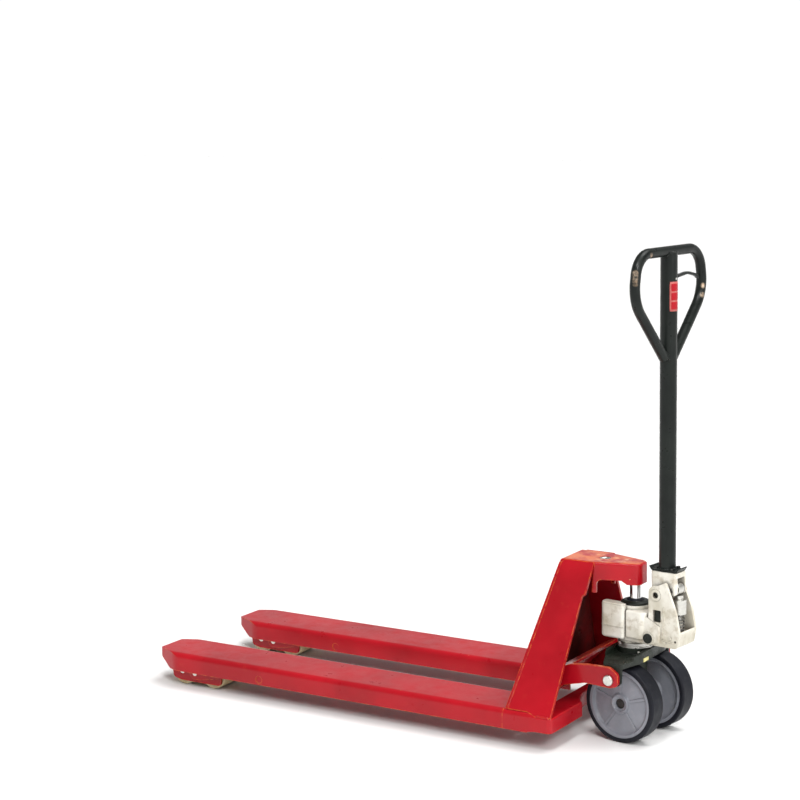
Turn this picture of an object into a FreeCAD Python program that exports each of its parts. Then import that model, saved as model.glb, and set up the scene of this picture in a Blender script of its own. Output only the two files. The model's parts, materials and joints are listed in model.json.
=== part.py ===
import FreeCAD, Part
import math
import os

# Hand pallet truck. X runs from the fork tips towards the drawbar, Y across, Z up, in millimetres.
# Everything is laid out from the vertical steering axis and moved at the end, so that the
# origin is at the centre of the whole truck's bounding box, on the floor.

Vector = FreeCAD.Vector
LEFT, RIGHT = 1, -1
SIDES = ((LEFT, "left"), (RIGHT, "right"))

# Forks and lowered height
FORK_TIP = -1360.0
FORK_END = -243.0
FORK_CENTRE = 190.0
FORK_HALF = 80.0
FORK_TOP = 95.0
FORK_BOTTOM = 45.0
SHEET = 5.0
LIFT = 110.0

# Load end: a lever hangs a two-roller bogie under each fork tip
ROLLER_R = 41.0
ROLLER_HALF = 50.0
ROLLER_SPACING = 98.0
BOGIE_X = -1223.0
LEVER_LENGTH = 229.2
LEVER_PIVOT_Z = 60.0
CRANK_R = 24.0
BOGIE_IN, BOGIE_OUT = 51.5, 57.5
LEVER_IN, LEVER_OUT = 59.0, 66.0
BOGIE_PIN_R = 7.0

# Head frame
HEEL_X = -106.0
LEG_FOOT_Y = 262.0
SHOULDER_Y = 222.0
LEG_TOP_Y = 62.0
HEAD_TOP = 447.0
LEG_PLATE = 8.0
SWING_R = 141.0
HEEL_TOP = 88.0
NOSE_TIP = 25.0
NOSE_HALF = 26.0

# Rocker between the head frame and the turntable bracket
ROCKER_X = -205.0
TRUNNION_Z = 177.0
ARM_IN, ARM_OUT = 150.0, 161.0
ROCKER_SHAFT_R = 10.0
ROCKER_HUB_R = 15.5
EAR_IN, EAR_OUT = 140.0, 149.0
SLOT_HALF, SLOT_END = 11.0, 23.0

# Steered unit, built straight ahead and then turned to its rest angle
STEER_REST = -7.0
AXLE_X = 14.0
WHEEL_R = 100.0
WHEEL_IN, WHEEL_OUT = 49.0, 101.0
CORE_R = 88.0
POST_R = 30.0
RAM_R = 15.0
PIVOT_X, PIVOT_Z = 85.0, 380.0
CHEEK_IN, CHEEK_OUT = 35.0, 43.0
PLUNGER_X = 127.0
PLUNGER_R = 7.0
TUBE_X = 93.0
TUBE_R = 21.5
YOKE_TOP = 437.0
LOOP_R = 13.0
LOOP_TOP = 1246.0
LEVER_Z = 1178.0

SHAFT_GAP = 0.05
LEVER_REST = math.degrees(math.asin((LEVER_PIVOT_Z - ROLLER_R) / LEVER_LENGTH))
LEVER_RAISED = math.degrees(math.asin((LEVER_PIVOT_Z - ROLLER_R + LIFT) / LEVER_LENGTH))
SWING = LEVER_RAISED - LEVER_REST
CRANK_REST = SWING / 2
LEVER_PIVOT_X = BOGIE_X + LEVER_LENGTH * math.cos(math.radians(LEVER_REST))
ROD_Z = LEVER_PIVOT_Z + CRANK_R * math.cos(math.radians(CRANK_REST))
CRANK_DX = CRANK_R * math.sin(math.radians(CRANK_REST))
ROCKER_Z = ROD_Z + CRANK_R * math.cos(math.radians(CRANK_REST))

parts = {}


def block(x0, x1, y0, y1, z0, z1):
    return Part.makeBox(x1 - x0, y1 - y0, z1 - z0, Vector(x0, y0, z0))


def upright(x, y, radius, z0, z1):
    return Part.makeCylinder(radius, z1 - z0, Vector(x, y, z0), Vector(0, 0, 1))


def across(x, z, radius, y0, y1):
    return Part.makeCylinder(radius, y1 - y0, Vector(x, y0, z), Vector(0, 1, 0))


def along(y, z, radius, x0, x1):
    return Part.makeCylinder(radius, x1 - x0, Vector(x0, y, z), Vector(1, 0, 0))


def rounded_wire(points):
    """Closed wire through points (3-D vector, corner radius), with an arc at each rounded corner."""
    edges = []
    ends = []
    count = len(points)
    for index, (corner, radius) in enumerate(points):
        before = (points[index - 1][0] - corner).normalize()
        after = (points[(index + 1) % count][0] - corner).normalize()
        if radius <= 0:
            ends.append((corner, corner, None))
            continue
        half = before.getAngle(after) / 2
        reach = radius / math.tan(half)
        middle = (before + after).normalize()
        crown = corner + middle * (radius / math.sin(half) - radius)
        ends.append((corner + before * reach, corner + after * reach, crown))
    for index, (start, stop, crown) in enumerate(ends):
        if crown is not None:
            edges.append(Part.Arc(start, crown, stop).toShape())
        following = ends[(index + 1) % count][0]
        if stop.distanceToPoint(following) > 1e-6:
            edges.append(Part.LineSegment(stop, following).toShape())
    return Part.Wire(edges)


def slab(plane, points, low, high):
    """Outline of (u, v) or (u, v, corner radius) points in plane xy, xz or yz, from low to high."""
    place = {
        "xy": lambda u, v: Vector(u, v, low),
        "xz": lambda u, v: Vector(u, low, v),
        "yz": lambda u, v: Vector(low, u, v),
    }[plane]
    normal = {"xy": Vector(0, 0, 1), "xz": Vector(0, 1, 0), "yz": Vector(1, 0, 0)}[plane]
    corners = [(place(p[0], p[1]), p[2] if len(p) > 2 else 0) for p in points]
    return Part.Face(rounded_wire(corners)).extrude(normal * (high - low))


def fuse(*shapes):
    joined = shapes[0]
    for shape in shapes[1:]:
        joined = joined.fuse(shape)
    return joined.removeSplitter()


def cut(shape, *tools):
    for tool in tools:
        shape = shape.cut(tool)
    return shape


def mirror(shape):
    return shape.mirror(Vector(0, 0, 0), Vector(0, 1, 0))


def both(shape):
    return fuse(shape, mirror(shape))


def soften(shape, radius, pick):
    """Fillet every edge whose bounding box satisfies pick."""
    edges = [edge for edge in shape.Edges if pick(edge.BoundBox)]
    return shape.makeFillet(radius, edges)


def group(shapes):
    """Several separate solids kept in one node."""
    return Part.makeCompound(shapes)


def steered(shape):
    turned = shape.copy()
    turned.rotate(Vector(0, 0, 0), Vector(0, 0, 1), STEER_REST)
    return turned


def spin(profile, x, z):
    """Solid of revolution about the Y line through (x, z): profile is (y, radius) pairs."""
    points = [(Vector(x, p[0], z + p[1]), p[2] if len(p) > 2 else 0) for p in profile]
    return Part.Face(rounded_wire(points)).revolve(Vector(x, 0, z), Vector(0, 1, 0), 360)


# ---------------------------------------------------------------- forks

def fork_shell(inset):
    """Fork blade as a solid, shrunk by inset on every side but its open underside and rear."""
    half = FORK_HALF - inset
    tip = FORK_TIP + inset
    top = FORK_TOP - inset * 0.8
    bend = 14.0 - inset
    low = FORK_BOTTOM - inset * 4
    section = slab("yz", [(-half, low), (half, low), (half, top, bend), (-half, top, bend)], tip, FORK_END)
    plan = slab("xy", [
        (FORK_END, -half), (FORK_END, half), (FORK_TIP + 78 - inset, half, 60),
        (tip, half * 0.55, 26), (tip, -half * 0.55, 26), (FORK_TIP + 78 - inset, -half, 60),
    ], 0, FORK_TOP)
    side = slab("xz", [
        (FORK_END, low), (FORK_END, top), (tip, top, 9), (tip, top - 20, 8),
        (FORK_TIP + 52 - inset, low, 16 if inset == 0 else 0),
    ], -FORK_HALF, FORK_HALF)
    return section.common(plan).common(side)


def fork(side):
    blade = cut(fork_shell(0), fork_shell(SHEET))
    rib = block(-700, -694, -FORK_HALF + SHEET, FORK_HALF - SHEET, 72, FORK_TOP - SHEET + 1)
    blade = fuse(blade, cut(rib, block(-710, -690, -22, 22, 60, 92)))
    blade = cut(blade, across(LEVER_PIVOT_X, LEVER_PIVOT_Z, 10.0, -90, 90))
    blade.translate(Vector(0, side * FORK_CENTRE, 0))
    return blade


for side, name in SIDES:
    parts["fork_" + name] = fork(side)

parts["lever_axles"] = group([
    across(LEVER_PIVOT_X, LEVER_PIVOT_Z, 10.0, side * FORK_CENTRE - 79, side * FORK_CENTRE + 79)
    for side, name in SIDES
])


# ---------------------------------------------------------------- heel and head frame

def heel():
    swing = upright(0, 0, SWING_R, 0, 200)
    outer = slab("xy", [(-166, -270), (HEEL_X, -270, 14), (HEEL_X, 270, 14), (-166, 270)], 50, HEEL_TOP)
    inner = block(-160, HEEL_X - 6, -264, 264, 40, 82)
    bar = cut(outer, swing)
    bar = soften(bar, 4.0, lambda b: b.ZMin > HEEL_TOP - 0.1 and b.XMin > -142 and b.YLength > 60)
    hollow = cut(inner, upright(0, 0, SWING_R + 6, 0, 200))
    bar = cut(bar, hollow)
    shoulder = slab("yz", [
        (SHOULDER_Y, FORK_TOP - 6), (SHOULDER_Y, FORK_TOP), (270, FORK_TOP, 14),
        (270, FORK_BOTTOM), (264, FORK_BOTTOM), (264, FORK_TOP - 6, 8),
    ], FORK_END, -150)
    nose = slab("xz", [
        (FORK_END, 0), (FORK_END, 200), (-190, 200), (-176, FORK_TOP + 1, 30), (-150, HEEL_TOP), (-150, 50),
        (-185, FORK_BOTTOM, 30), (-200, 0),
    ], 100, 300)
    shoulder = both(shoulder.common(nose))
    bearer = slab("xz", [
        (FORK_END + 18, 86), (-150, 86), (-166, 128, 16), (-192, 136, 20), (-222, 132, 8),
    ], 206.5, 214.5)
    bearer = cut(bearer, across(ROCKER_X, ROCKER_Z, ROCKER_SHAFT_R, 200, 230))
    foot = block(FORK_END + 18, -150, 206.5, SHOULDER_Y + 13, 84, FORK_TOP - 6)
    return cut(fuse(bar, shoulder, both(fuse(bearer, foot))), both(leg()))


LEG_SLOPE = (LEG_FOOT_Y - LEG_TOP_Y) / (HEAD_TOP - FORK_TOP)


def leg_point(x, z):
    return Vector(x, LEG_FOOT_Y - LEG_SLOPE * (z - FORK_TOP), z)


def leg():
    outline = [
        (-231, FORK_TOP, 0), (-176, FORK_TOP, 0), (-152, HEEL_TOP, 0), (-110, HEEL_TOP, 3), (-100, 368, 4),
        (-93, 372, 3), (-88, HEAD_TOP, 3), (-177, HEAD_TOP, 14),
    ]
    wire = rounded_wire([(leg_point(x, z), radius) for x, z, radius in outline])
    inward = Vector(0, -1, -LEG_SLOPE).normalize() * LEG_PLATE
    plate = Part.Face(wire).extrude(inward)
    return cut(plate, block(-300, 0, 0, 300, 0, HEEL_TOP), block(-300, -176, 0, 300, 0, FORK_TOP))


def carriage():
    top = HEAD_TOP - LEG_PLATE
    sheet = slab("xz", [(-239, FORK_TOP), (-231, FORK_TOP), (-177, top), (-185, top)], -270, 270)
    width = slab("yz", [
        (-LEG_FOOT_Y, FORK_TOP), (LEG_FOOT_Y, FORK_TOP), (LEG_TOP_Y, HEAD_TOP), (-LEG_TOP_Y, HEAD_TOP),
    ], -300, -100)
    opening = slab("yz", [(-62, 175, 14), (62, 175, 14), (50, 262, 14), (-50, 262, 14)], -300, -100)
    legs = both(leg())
    return cut(sheet.common(width), opening, legs)


def head_plan(inset, rear, low, high):
    """Top plate outline: full width at the rear, narrowing to the rounded nose over the ram."""
    side = LEG_TOP_Y - inset
    tip = NOSE_TIP - inset
    half = NOSE_HALF - inset
    return slab("xy", [
        (rear, -side), (-92, -side, 40 - inset), (tip, -half, 23 - inset),
        (tip, half, 23 - inset), (-92, side, 40 - inset), (rear, side),
    ], low, high)


def head():
    inner = head_plan(LEG_PLATE, -300, 300, HEAD_TOP - LEG_PLATE)
    shell = soften(head_plan(0, -185, 368, HEAD_TOP), 7.0, lambda b: b.ZMin > HEAD_TOP - 0.1)
    shell = cut(shell, inner)
    arch = slab("xz", [
        (-84, 300), (-84, 402, 14), (-22, 402, 4), (-8, 392, 3), (24, 392, 3), (NOSE_TIP + 2, 402),
        (NOSE_TIP + 2, 300),
    ], -100, 100)
    behind = slab("xz", [(-300, 300), (-98, 300), (-91, HEAD_TOP - 9), (-190, HEAD_TOP - 8), (-300, 430)], -100, 100)
    shell = cut(shell, arch, behind, both(leg()), carriage())
    return cut(shell, upright(-86, 0, 15.0, 400, 500))


def ram_seat():
    seat = fuse(upright(0, 0, 18.5, 391, HEAD_TOP - LEG_PLATE), upright(0, 0, 23.0, 430, HEAD_TOP - LEG_PLATE))
    return cut(seat, upright(0, 0, RAM_R + 0.3, 390, 404), head())


parts["heel_crossmember"] = heel()
parts["leg_left"] = leg()
parts["leg_right"] = mirror(leg())
parts["carriage_plate"] = carriage()
parts["head_nose"] = head()
parts["ram_seat"] = ram_seat()
parts["rocker_shaft"] = group([
    across(ROCKER_X, ROCKER_Z, ROCKER_SHAFT_R, -214, 214),
])


# ---------------------------------------------------------------- rocker

def rocker():
    arm = slab("xz", [
        (ROCKER_X - 17, ROCKER_Z - 17, 16), (ROCKER_X + 24, ROCKER_Z - 12, 14), (-128, 146, 30), (-66, 161, 30),
        (4, 157, 10), (26, 163, 12), (25, 194, 16), (2, 209, 22), (-62, 209, 40), (-112, 203, 30),
        (ROCKER_X - 19, ROCKER_Z + 22, 20),
    ], ARM_IN, ARM_OUT)
    web = slab("xz", [
        (ROCKER_X, ROCKER_Z + 8), (-150, 172, 20), (-114, 190), (-114, 198), (-156, 182, 20),
        (ROCKER_X - 8, ROCKER_Z + 16),
    ], -ARM_IN - 1, ARM_IN + 1)
    hub = across(ROCKER_X, ROCKER_Z, ROCKER_HUB_R, -205, 205)
    crank = slab("xz", [
        (ROCKER_X - 15, ROCKER_Z), (ROCKER_X + 15, ROCKER_Z), (ROCKER_X + CRANK_DX + 9, ROD_Z - 9, 8),
        (ROCKER_X + CRANK_DX - 9, ROD_Z - 9, 8),
    ], 184, 196)
    crank = cut(crank, across(ROCKER_X + CRANK_DX, ROD_Z, 5.0, 180, 200))
    arm = cut(arm, across(0, TRUNNION_Z, 10.0, 140, 170))
    body = fuse(hub, web, both(arm), both(crank))
    return cut(body, across(ROCKER_X, ROCKER_Z, ROCKER_SHAFT_R + SHAFT_GAP, -230, 230))


def trunnion_pin():
    return fuse(
        across(0, TRUNNION_Z, 10.0, EAR_IN + 1, ARM_OUT),
        spin([(ARM_OUT, 0), (ARM_OUT + 7, 0), (ARM_OUT + 7, 13.5, 3), (ARM_OUT, 13.5)], 0, TRUNNION_Z),
    )


parts["rocker_arms"] = rocker()
parts["rocker_pins"] = group([
    trunnion_pin(), mirror(trunnion_pin()),
    across(ROCKER_X + CRANK_DX, ROD_Z, 5.0, 176, 204),
    across(ROCKER_X + CRANK_DX, ROD_Z, 5.0, -204, -176),
])


# ---------------------------------------------------------------- levers, bogies, rods

def lever():
    drop = LEVER_PIVOT_Z - ROLLER_R
    cheek = slab("xz", [
        (LEVER_PIVOT_X + 18, LEVER_PIVOT_Z - 14, 13), (LEVER_PIVOT_X + 18, LEVER_PIVOT_Z + 16, 13),
        (LEVER_PIVOT_X - 34, LEVER_PIVOT_Z + 17, 20), (BOGIE_X + 40, ROLLER_R + 20, 60),
        (BOGIE_X - 17, ROLLER_R + 17, 16), (BOGIE_X - 17, ROLLER_R - 17, 16), (BOGIE_X + 17, ROLLER_R - 17, 16),
        (BOGIE_X + 100, LEVER_PIVOT_Z - drop - 1, 60),
    ], LEVER_IN, LEVER_OUT)
    hub = across(LEVER_PIVOT_X, LEVER_PIVOT_Z, 16.0, -LEVER_OUT, LEVER_OUT)
    bridge = block(LEVER_PIVOT_X - 96, LEVER_PIVOT_X - 88, -LEVER_IN - 1, LEVER_IN + 1, 42, 74)
    crank_x = LEVER_PIVOT_X + CRANK_DX
    crank = slab("xz", [
        (LEVER_PIVOT_X - 12, LEVER_PIVOT_Z), (LEVER_PIVOT_X + 14, LEVER_PIVOT_Z),
        (crank_x + 7, ROD_Z + 6.5, 6), (crank_x - 7, ROD_Z + 6.5, 6),
    ], -6, 6)
    body = fuse(hub, both(cheek), bridge, crank)
    return cut(
        body,
        across(LEVER_PIVOT_X, LEVER_PIVOT_Z, 10.0 + SHAFT_GAP, -90, 90),
        across(BOGIE_X, ROLLER_R, BOGIE_PIN_R, -90, 90),
        across(crank_x, ROD_Z, 5.0, -20, 20),
    )


def bogie():
    front = BOGIE_X - ROLLER_SPACING / 2
    rear = BOGIE_X + ROLLER_SPACING / 2
    cheek = slab("xz", [
        (front - 30, 20, 12), (front - 36, 58, 16), (front + 6, 78, 24), (rear - 6, 78, 24), (rear + 38, 54, 16),
        (rear + 34, 14, 10), (front - 4, 14, 10),
    ], BOGIE_IN, BOGIE_OUT)
    return cut(
        both(cheek),
        across(BOGIE_X, ROLLER_R, BOGIE_PIN_R + SHAFT_GAP, -90, 90),
        across(front, ROLLER_R, 8.0, -90, 90),
        across(rear, ROLLER_R, 8.0, -90, 90),
    )


def load_roller(x):
    return spin([
        (-ROLLER_HALF, 8.0 + SHAFT_GAP), (ROLLER_HALF, 8.0 + SHAFT_GAP), (ROLLER_HALF, 30),
        (ROLLER_HALF - 3, 33), (ROLLER_HALF - 3, ROLLER_R, 4), (-ROLLER_HALF + 3, ROLLER_R, 4),
        (-ROLLER_HALF + 3, 33), (-ROLLER_HALF, 30),
    ], x, ROLLER_R)


def push_rod():
    front = LEVER_PIVOT_X + CRANK_DX
    rear = ROCKER_X + CRANK_DX
    rod = along(0, ROD_Z, 5.5, front + 14, rear - 18)
    shapes = [rod]
    for low, high in ((-11.5, -6.5), (6.5, 11.5)):
        shapes.append(slab("xz", [
            (front - 7, ROD_Z - 6, 5.5), (front + 24, ROD_Z - 6), (front + 24, ROD_Z + 6),
            (front - 7, ROD_Z + 6, 5.5),
        ], low, high))
        shapes.append(slab("xz", [
            (rear - 30, ROD_Z - 7), (rear + 9, ROD_Z - 7, 6.5), (rear + 9, ROD_Z + 6.5, 6), (rear - 30, ROD_Z + 6.5),
        ], low, high))
    shapes.append(block(front + 14, front + 24, -11.5, 11.5, ROD_Z - 6, ROD_Z + 6))
    shapes.append(block(rear - 30, rear - 20, -11.5, 11.5, ROD_Z - 7, ROD_Z + 6.5))
    body = fuse(*shapes)
    clearance = 1.8
    return cut(
        body,
        across(front, ROD_Z, 5.0 + SHAFT_GAP, -20, 20),
        slab("xz", [
            (rear - 6, ROD_Z - 5 - clearance), (rear + 20, ROD_Z - 5 - clearance), (rear + 20, ROD_Z + 5.2),
            (rear - 6, ROD_Z + 5.2),
        ], -20, 20),
    )


for side, name in SIDES:
    shift = Vector(0, side * FORK_CENTRE, 0)
    roller_x = (BOGIE_X - ROLLER_SPACING / 2, BOGIE_X + ROLLER_SPACING / 2)
    load_end = {
        "lever_" + name: lever(),
        "lever_pins_" + name: group([
            across(BOGIE_X, ROLLER_R, BOGIE_PIN_R, -LEVER_OUT, LEVER_OUT),
            across(LEVER_PIVOT_X + CRANK_DX, ROD_Z, 5.0, -13, 13),
        ]),
        "bogie_" + name: bogie(),
        "roller_axles_" + name: group([across(x, ROLLER_R, 8.0, -BOGIE_OUT, BOGIE_OUT) for x in roller_x]),
        "load_roller_tip_" + name: load_roller(roller_x[0]),
        "load_roller_heel_" + name: load_roller(roller_x[1]),
        "push_rod_" + name: push_rod(),
    }
    for node, shape in load_end.items():
        shape.translate(shift)
        parts[node] = shape


# ---------------------------------------------------------------- turntable

def turntable_bracket():
    outline = [
        (-20, -EAR_OUT, 6), (29, -EAR_OUT, 6), (50, -70, 30), (50, 70, 30), (29, EAR_OUT, 6), (-20, EAR_OUT, 6),
        (-50, 70, 30), (-50, -70, 30),
    ]
    plate = slab("xy", outline, 204, 217)
    rim = slab("yz", [
        (-EAR_OUT, 204), (EAR_OUT, 204), (EAR_OUT, 217), (70, 230, 30), (-70, 230, 30), (-EAR_OUT, 217),
    ], -50, 50)
    ribs = fuse(
        rim.common(block(-50, -41, -160, 160, 200, 240)),
        rim.common(block(41, 50, -160, 160, 200, 240)),
    ).common(slab("xy", outline, 200, 240))
    hub = upright(0, 0, 47.0, 204, 231)
    ear = slab("xz", [(-20, 206), (-15.5, 160, 12), (27.5, 160, 12), (29, 206)], EAR_IN, EAR_OUT)
    slot = slab("xz", [
        (-SLOT_HALF, TRUNNION_Z - SLOT_HALF, 10.8), (SLOT_END, TRUNNION_Z - SLOT_HALF, 10.8),
        (SLOT_END, TRUNNION_Z + SLOT_HALF, 10.8), (-SLOT_HALF, TRUNNION_Z + SLOT_HALF, 10.8),
    ], 130, 160)
    body = fuse(plate, ribs, hub, both(cut(ear, slot)))
    return cut(body, upright(0, 0, POST_R + 3, 190, 250))


parts["turntable_bracket"] = turntable_bracket()
parts["turntable_bush"] = cut(upright(0, 0, POST_R + 3, 204, 231), upright(0, 0, POST_R + SHAFT_GAP, 190, 250))
parts["thrust_bearing"] = group([
    cut(upright(0, 0, 46, 231, 234.5), upright(0, 0, POST_R + 1, 220, 250)),
    cut(upright(0, 0, 44, 234.5, 239), upright(0, 0, POST_R + 4, 220, 250)),
    cut(upright(0, 0, 46, 239, 242.7), upright(0, 0, POST_R + 1, 220, 250)),
])


# ---------------------------------------------------------------- steered unit

def king_post():
    post = upright(0, 0, POST_R, 128, 243)
    yoke = slab("xz", [(-POST_R, 150), (-19, 84, 26), (44, 84, 26), (POST_R + 6, 150, 8)], -26, 26)
    boss = across(AXLE_X, WHEEL_R, 27.0, -45, 45)
    body = fuse(post, yoke, boss)
    groove = cut(upright(0, 0, POST_R + 1, 199, 201.5), upright(0, 0, POST_R - 2, 190, 210))
    return cut(body, across(AXLE_X, WHEEL_R, 10.0, -60, 60), upright(0, 0, RAM_R + 0.3, 138, 250), groove)


def pump_body():
    barrel = upright(0, 0, 41.0, 243, 340)
    core = slab("xy", [(-2, -51, 8), (62, -51, 22), (62, 51, 22), (-2, 51, 8)], 262, 331)
    core = soften(core, 5.0, lambda b: b.ZMin > 330.9)
    belly = slab("xz", [
        (-34, 270, 10), (-22, 248, 20), (60, 248, 30), (100, 254, 14), (100, 300), (60, 320), (-34, 320),
    ], -46, 46)
    belly = soften(belly, 7.0, lambda b: b.ZMax < 262 and b.YLength < 1 and b.XLength > 20)
    plug_boss = across(66, 267, 16.0, -49, -40)
    body = fuse(barrel, core, belly, plug_boss)
    return cut(body, upright(0, 0, RAM_R + 0.3, 200, 350), across(66, 267, 9.0, -60, -34))


def plunger_housing():
    """Two cheeks that carry the drawbar pivot, with the plunger's cylinder between them."""
    cheek = slab("xz", [
        (60, 250, 4), (146, 250, 8), (154, 288, 10), (143, 343, 40), (113, 416, 6), (102, 410, 10),
        (86, 403, 16), (64, 402, 18), (64, 330, 20),
    ], CHEEK_IN, CHEEK_OUT)
    cheek = cut(cheek, slab("xz", [(78, 311, 3), (100, 311, 3), (100, 342, 3), (78, 342, 3)], 20, 60))
    cheek = fuse(cheek, across(PIVOT_X, PIVOT_Z, 15.0, CHEEK_OUT, CHEEK_OUT + 2))
    cheek = cut(cheek, across(PIVOT_X, PIVOT_Z, 8.0, 20, 60))
    front = slab("xz", [
        (130, 250, 4), (146, 250, 8), (154, 288, 3), (151.5, 294, 1), (148, 281, 2),
    ], -CHEEK_IN - 1, CHEEK_IN + 1)
    floor = block(98, 140, -CHEEK_IN - 1, CHEEK_IN + 1, 252, 282)
    barrel = upright(PLUNGER_X, 0, 10.5, 280, 313)
    middle = cut(fuse(front, floor, barrel), upright(PLUNGER_X, 0, PLUNGER_R + SHAFT_GAP, 254, 330))
    body = cut(fuse(both(cheek), middle), across(118, 300, 4.0, CHEEK_IN, 70))
    return cut(body, across(142, 268, 3.0, -60, -24), across(66, 267, 13.0, -60, 60), pump_body())


TANK_TOP = 341.0


def reservoir():
    """Oil tank: tall on the right-hand side, low across the back of the cylinder."""
    tall = slab("xy", [(-72, -57, 14), (-2, -57, 8), (-2, -26, 8), (-72, -26, 8)], 254, TANK_TOP)
    low = slab("xy", [(-72, -57, 14), (-2, -57, 8), (-2, 57, 8), (-72, 57, 24)], 254, 300)
    low = soften(low, 5.0, lambda b: b.ZMin > 299.9)
    tank = soften(fuse(tall, low), 6.0, lambda b: b.ZMax < 254.1)
    cavity = slab("xy", [(-67, -52, 9), (-42, -52, 4), (-42, -31, 4), (-67, -31, 4)], 259, TANK_TOP - 5)
    cavity = fuse(cavity, slab("xy", [(-67, -52, 9), (-44, -52, 4), (-44, 46, 4), (-67, 46, 12)], 259, 295))
    return cut(tank, cavity, upright(0, 0, 41.0, 200, 400), pump_body())


def reservoir_lid():
    lid = slab("xy", [(-71, -56, 13), (-3, -56, 7), (-3, -27, 7), (-71, -27, 7)], TANK_TOP, TANK_TOP + 4)
    lid = soften(lid, 1.5, lambda b: b.ZMin > TANK_TOP + 3.9)
    return cut(lid, upright(0, 0, 41.5, 300, 400))


parts["king_post"] = king_post()
parts["pump_body"] = pump_body()
parts["plunger_housing"] = plunger_housing()
parts["oil_reservoir"] = reservoir()
parts["reservoir_lid"] = reservoir_lid()
parts["cylinder_cap"] = cut(
    fuse(upright(0, 0, 37.5, 340, 345), Part.makeCone(37.5, 30, 4, Vector(0, 0, 345))),
    upright(0, 0, RAM_R + SHAFT_GAP, 300, 400),
)
parts["oil_plugs"] = group([
    fuse(across(66, 267, 9.0, -50, -34), across(66, 267, 12.5, -52, -49)),
    upright(-55, 34, 8.0, 300, 307),
])
parts["pivot_pins"] = group([
    across(PIVOT_X, PIVOT_Z, 8.0, -37, 37),
    across(118, 300, 4.0, CHEEK_IN, 52),
])
parts["plunger_spring"] = cut(upright(PLUNGER_X, 0, 15.4, 282, 364), upright(PLUNGER_X, 0, 11.6, 280, 380))
parts["wheel_axle"] = across(AXLE_X, WHEEL_R, 10.0, -93.5, 93.5)
parts["circlips"] = group([
    cut(upright(0, 0, 36, 199, 201.5), upright(0, 0, POST_R - 2, 190, 210)),
    cut(across(AXLE_X, WHEEL_R, 12.5, 89.5, 91.5), across(AXLE_X, WHEEL_R, 10, 80, 99)),
    cut(across(AXLE_X, WHEEL_R, 12.5, -91.5, -89.5), across(AXLE_X, WHEEL_R, 10, -99, -80)),
])

wheel_core = spin([
    (WHEEL_IN, 13), (WHEEL_OUT - 5, 13), (WHEEL_OUT - 4, 17, 0), (WHEEL_OUT - 1, 20, 2), (WHEEL_OUT - 1, 24, 2),
    (WHEEL_OUT - 8, 27, 3), (WHEEL_OUT - 9, 76, 5), (WHEEL_OUT - 1, 80, 2), (WHEEL_OUT - 1, CORE_R),
    (WHEEL_IN + 1, CORE_R), (WHEEL_IN + 1, 80), (WHEEL_IN + 12, 75, 5), (WHEEL_IN + 11, 28, 4), (WHEEL_IN, 24),
], AXLE_X, WHEEL_R)
spoke = slab("xz", [
    (AXLE_X - 3.5, WHEEL_R + 25), (AXLE_X + 3.5, WHEEL_R + 25), (AXLE_X + 3.5, WHEEL_R + 77),
    (AXLE_X - 3.5, WHEEL_R + 77),
], WHEEL_OUT - 12, WHEEL_OUT - 6.5)
SPOKES = 5
spokes = []
for index in range(SPOKES):
    ray = spoke.copy()
    ray.rotate(Vector(AXLE_X, 0, WHEEL_R), Vector(0, 1, 0), 360.0 * index / SPOKES)
    spokes.append(ray)
wheel_core = fuse(wheel_core, *spokes)
wheel_tyre = spin([
    (WHEEL_IN, CORE_R), (WHEEL_OUT, CORE_R), (WHEEL_OUT, WHEEL_R, 5), (WHEEL_IN, WHEEL_R, 5),
], AXLE_X, WHEEL_R)
wheel_bush = cut(
    across(AXLE_X, WHEEL_R, 13.0, WHEEL_IN, WHEEL_OUT - 12),
    across(AXLE_X, WHEEL_R, 10.0 + SHAFT_GAP, 0, 120),
)
for side, name in SIDES:
    turn = (lambda shape: shape) if side == LEFT else mirror
    parts["steer_wheel_" + name] = turn(wheel_core)
    parts["steer_tyre_" + name] = turn(wheel_tyre)
    parts["wheel_bush_" + name] = turn(wheel_bush)

parts["ram_rod"] = fuse(
    upright(0, 0, RAM_R, 146, 402),
    Part.makeCone(RAM_R, RAM_R - 2, 1.6, Vector(0, 0, 402)),
)
parts["pump_plunger"] = fuse(
    upright(PLUNGER_X, 0, PLUNGER_R, 304, 368),
    cut(upright(PLUNGER_X, 0, 19.0, 331, 368), upright(PLUNGER_X, 0, 16.5, 320, 364)),
    upright(PLUNGER_X, 0, 11.0, 367, 378),
)
parts["release_lever"] = cut(
    fuse(
        slab("xz", [(108, 290, 9), (128, 290, 9), (130, 312, 6), (136, 336, 3), (128, 338, 3), (112, 314, 8)], 45, 50),
        block(129, 135, 45, 56, 331, 335),
    ),
    across(118, 300, 4.0 + SHAFT_GAP, 30, 60),
)


# ---------------------------------------------------------------- drawbar

ROLLER_DX, ROLLER_DZ = 36.0, 14.0
BOLTS = [(x, y) for x in (70, 116) for y in (-16, 16)]


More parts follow.
